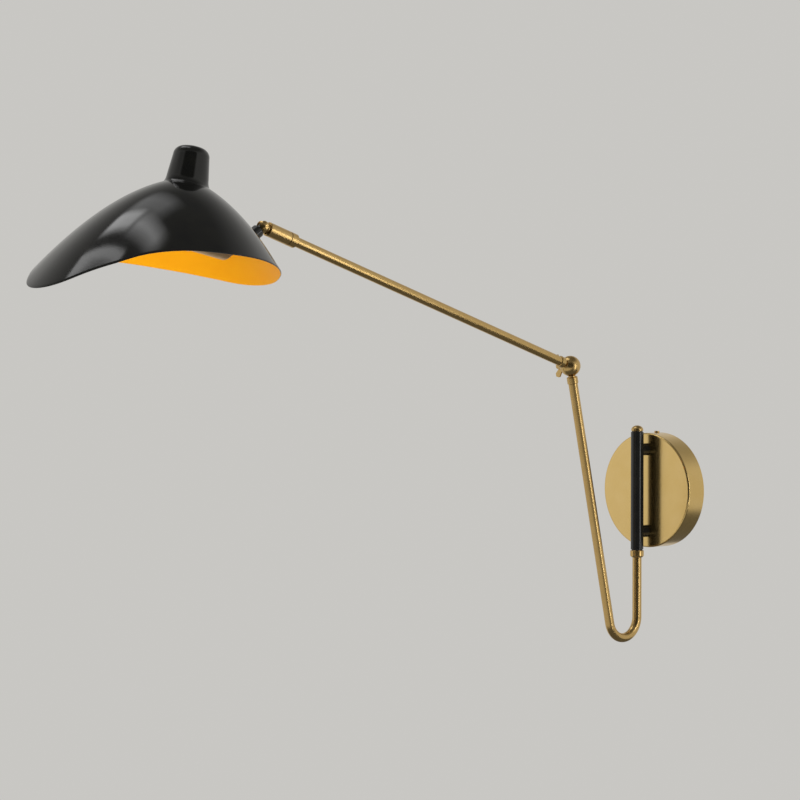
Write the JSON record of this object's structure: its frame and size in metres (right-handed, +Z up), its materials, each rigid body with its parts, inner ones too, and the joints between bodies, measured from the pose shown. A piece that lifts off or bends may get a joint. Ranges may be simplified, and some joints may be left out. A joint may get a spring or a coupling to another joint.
{
  "type": "swing-arm wall lamp",
  "caption": "Wall lamp with a bent-tube swing arm, wing-nut elbow, long upper arm and a tilting spun metal shade shaped like a visor, dark outside and warm inside.",
  "frame": {"origin": "centre of the wall canopy's back, on the wall plane", "axes": "+Z up, the wall is the plane y = 0 and the lamp stands out along -Y; the arms rest in the plane x = 0"},
  "size_m": [0.2052, 0.8244, 0.5117],
  "materials": {
    "brass": "gloss",
    "brass_canopy": "satin",
    "black_satin": "satin",
    "shade_enamel": "gloss",
    "black_steel": "satin",
    "zinc_steel": "satin",
    "nickel": "satin",
    "nylon": "matte",
    "black_nylon": "matte",
    "terminal_plastic": "matte",
    "porcelain": "gloss",
    "bulb_glass": "frosted"
  },
  "bodies": {
    "base": {"wall_strap": "zinc_steel", "canopy": "brass_canopy", "cover_screw_upper": "brass", "cover_screw_lower": "brass", "terminal_block": "terminal_plastic", "earth_screw": "brass", "standoff_upper": "black_satin", "standoff_lower": "black_satin", "standoff_screw": "zinc_steel", "nipple_nut": "zinc_steel", "post_sleeve": "black_satin", "bush_upper": "nylon", "bush_lower": "nylon", "thrust_washer_upper": "black_nylon", "thrust_washer_lower": "black_nylon"},
    "lower_arm": {"post_cap": "brass", "stop_collar": "brass", "lower_tube": "brass", "lower_ferrule": "brass", "elbow_lower_half": "brass", "elbow_washer": "brass"},
    "upper_arm": {"elbow_upper_half": "brass", "elbow_bolt": "brass", "upper_ferrule": "brass", "upper_tube": "brass", "end_collar": "brass", "swivel_stub": "zinc_steel"},
    "wing": {"wing_nut": "brass"},
    "head": {"head_sleeve": "brass", "knuckle_fork": "brass", "knuckle_pin": "brass"},
    "shade_unit": {"tongue": "black_steel", "shade_boss": "black_satin", "shade": "shade_enamel", "crown_cap": "black_satin", "crown_screw": "zinc_steel", "crown_washer": "zinc_steel", "stem_washer": "black_steel", "stem_nut": "black_steel", "holder_bracket": "zinc_steel", "lamp_holder": "nickel", "holder_insert": "porcelain", "holder_ring": "nickel", "holder_nipple": "zinc_steel", "holder_nut": "zinc_steel", "lamp_base": "nickel", "bulb": "bulb_glass"}
  },
  "joints": [
    {"name": "arm_swivel", "type": "hinge", "parent": "base", "child": "lower_arm", "pos_m": [0, -0.0385, 0], "axis": [0, 0, 1], "range_deg": [-80, 80]},
    {"name": "elbow_pivot", "type": "hinge", "parent": "lower_arm", "child": "upper_arm", "pos_m": [0, -0.1441, 0.13744], "axis": [1, 0, 0], "range_deg": [-60, 50]},
    {"name": "wing_nut_turn", "type": "hinge", "parent": "upper_arm", "child": "wing", "pos_m": [0, -0.1441, 0.13744], "axis": [1, 0, 0], "range_deg": [-180, 180]},
    {"name": "head_swivel", "type": "hinge", "parent": "upper_arm", "child": "head", "pos_m": [0, -0.56577, 0.27323], "axis": [0, -0.9519, 0.3065], "range_deg": [-150, 150]},
    {"name": "head_tilt", "type": "hinge", "parent": "head", "child": "shade_unit", "pos_m": [0, -0.56577, 0.27323], "axis": [1, 0, 0], "range_deg": [-110, 25]}
  ]
}
